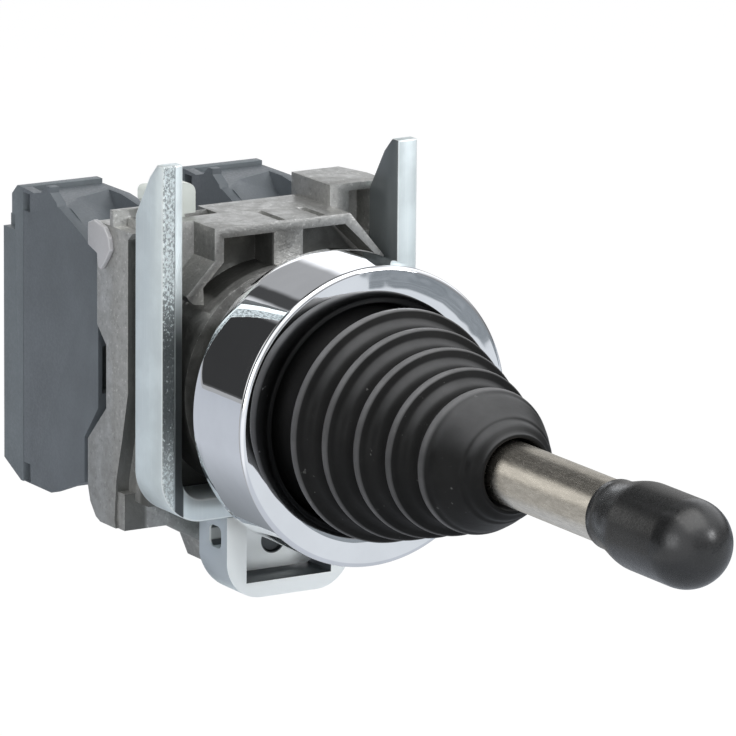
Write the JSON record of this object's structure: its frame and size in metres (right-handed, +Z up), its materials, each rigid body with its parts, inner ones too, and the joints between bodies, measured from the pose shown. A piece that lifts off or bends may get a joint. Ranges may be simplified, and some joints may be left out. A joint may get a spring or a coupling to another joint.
{
  "type": "panel joystick switch",
  "caption": "Panel-mount joystick switch: sprung side-to-side lever in a bellows gaiter, chrome bezel, die-cast fixing collar with steel clamp, rear contact blocks.",
  "frame": {"origin": "on the operator axis, in the front plane of the panel, which is the rear face of the gasket", "axes": "+X to the right seen from the front, +Y into the panel, +Z up; the lever points along -Y"},
  "size_m": [0.032, 0.1168, 0.0478],
  "materials": {
    "chrome_plate": "polished chrome plating",
    "gasket_rubber": "matte moulded rubber",
    "zinc_casting": null,
    "gate_plastic": "glass-filled black plastic",
    "gaiter_rubber": "satin black moulded rubber",
    "plated_steel": "zinc-plated steel, slightly blue",
    "bright_steel": "turned nickel-plated steel",
    "knob_plastic": "semi-gloss black moulded plastic",
    "rocker_plastic": "filled grey plastic",
    "natural_plastic": "natural acetal",
    "block_plastic": "matte blue-grey moulded plastic",
    "latch_metal": "smooth light grey",
    "lever_zinc": "cream passivated zinc",
    "contact_alloy": "silver-tipped brass",
    "spring_steel": "drawn spring wire"
  },
  "bodies": {
    "root": {"bezel": "chrome_plate", "panel_gasket": "gasket_rubber", "operator_tube": "zinc_casting", "guide_plate": "gate_plastic", "gaiter_clamp_ring": "plated_steel", "gaiter": "gaiter_rubber", "pivot_pin": "bright_steel", "pusher_guide": "gate_plastic", "left_pusher_spring": "spring_steel", "right_pusher_spring": "spring_steel", "fixing_collar": "zinc_casting", "ring_retainer": "spring_steel", "latch_hooks": "latch_metal", "left_block_housing": "block_plastic", "right_block_housing": "block_plastic", "left_block_cover": "block_plastic", "right_block_cover": "block_plastic", "left_return_spring": "spring_steel", "right_return_spring": "spring_steel", "left_fixed_contacts": "contact_alloy", "right_fixed_contacts": "contact_alloy", "left_terminal_screws": "plated_steel", "right_terminal_screws": "plated_steel", "left_terminal_clamps": "plated_steel", "right_terminal_clamps": "plated_steel"},
    "lever": {"lever_shaft": "bright_steel", "rocker": "rocker_plastic", "knob": "knob_plastic"},
    "left_actuator": {"left_pusher": "natural_plastic", "left_plunger": "natural_plastic", "left_contact_bridge": "contact_alloy"},
    "right_actuator": {"right_pusher": "natural_plastic", "right_plunger": "natural_plastic", "right_contact_bridge": "contact_alloy"},
    "locking_ring": {"locking_ring": "lever_zinc"},
    "clamp": {"clamp_bracket": "plated_steel", "screw_stirrup": "plated_steel", "clamp_screw": "plated_steel"}
  },
  "joints": [
    {"name": "lever_tilt", "type": "hinge", "parent": "root", "child": "lever", "pos_m": [0, 0.003, 0], "axis": [0, 0, 1], "range_deg": [-18, 18], "stiffness_Nm_per_rad": 0.25, "deforming": ["gaiter"]},
    {"name": "left_push", "type": "slide", "parent": "root", "child": "left_actuator", "axis": [0, 1, 0], "range_m": [-0.0016, 0.0016], "stiffness_N_per_m": 200, "deforming": ["left_pusher_spring", "left_return_spring"]},
    {"name": "right_push", "type": "slide", "parent": "root", "child": "right_actuator", "axis": [0, 1, 0], "range_m": [-0.0016, 0.0016], "stiffness_N_per_m": 200, "deforming": ["right_pusher_spring", "right_return_spring"]},
    {"name": "lock_ring_turn", "type": "hinge", "parent": "root", "child": "locking_ring", "pos_m": [0, 0.0164, 0], "axis": [0, 1, 0], "range_deg": [0, 10]},
    {"name": "clamp_advance", "type": "slide", "parent": "root", "child": "clamp", "axis": [0, -1, 0], "range_m": [0, 0.0057]}
  ],
  "couplings": [
    {"joint": "left_push", "follows": "lever_tilt", "m_per_rad": -0.00505},
    {"joint": "right_push", "follows": "lever_tilt", "m_per_rad": 0.00505}
  ]
}
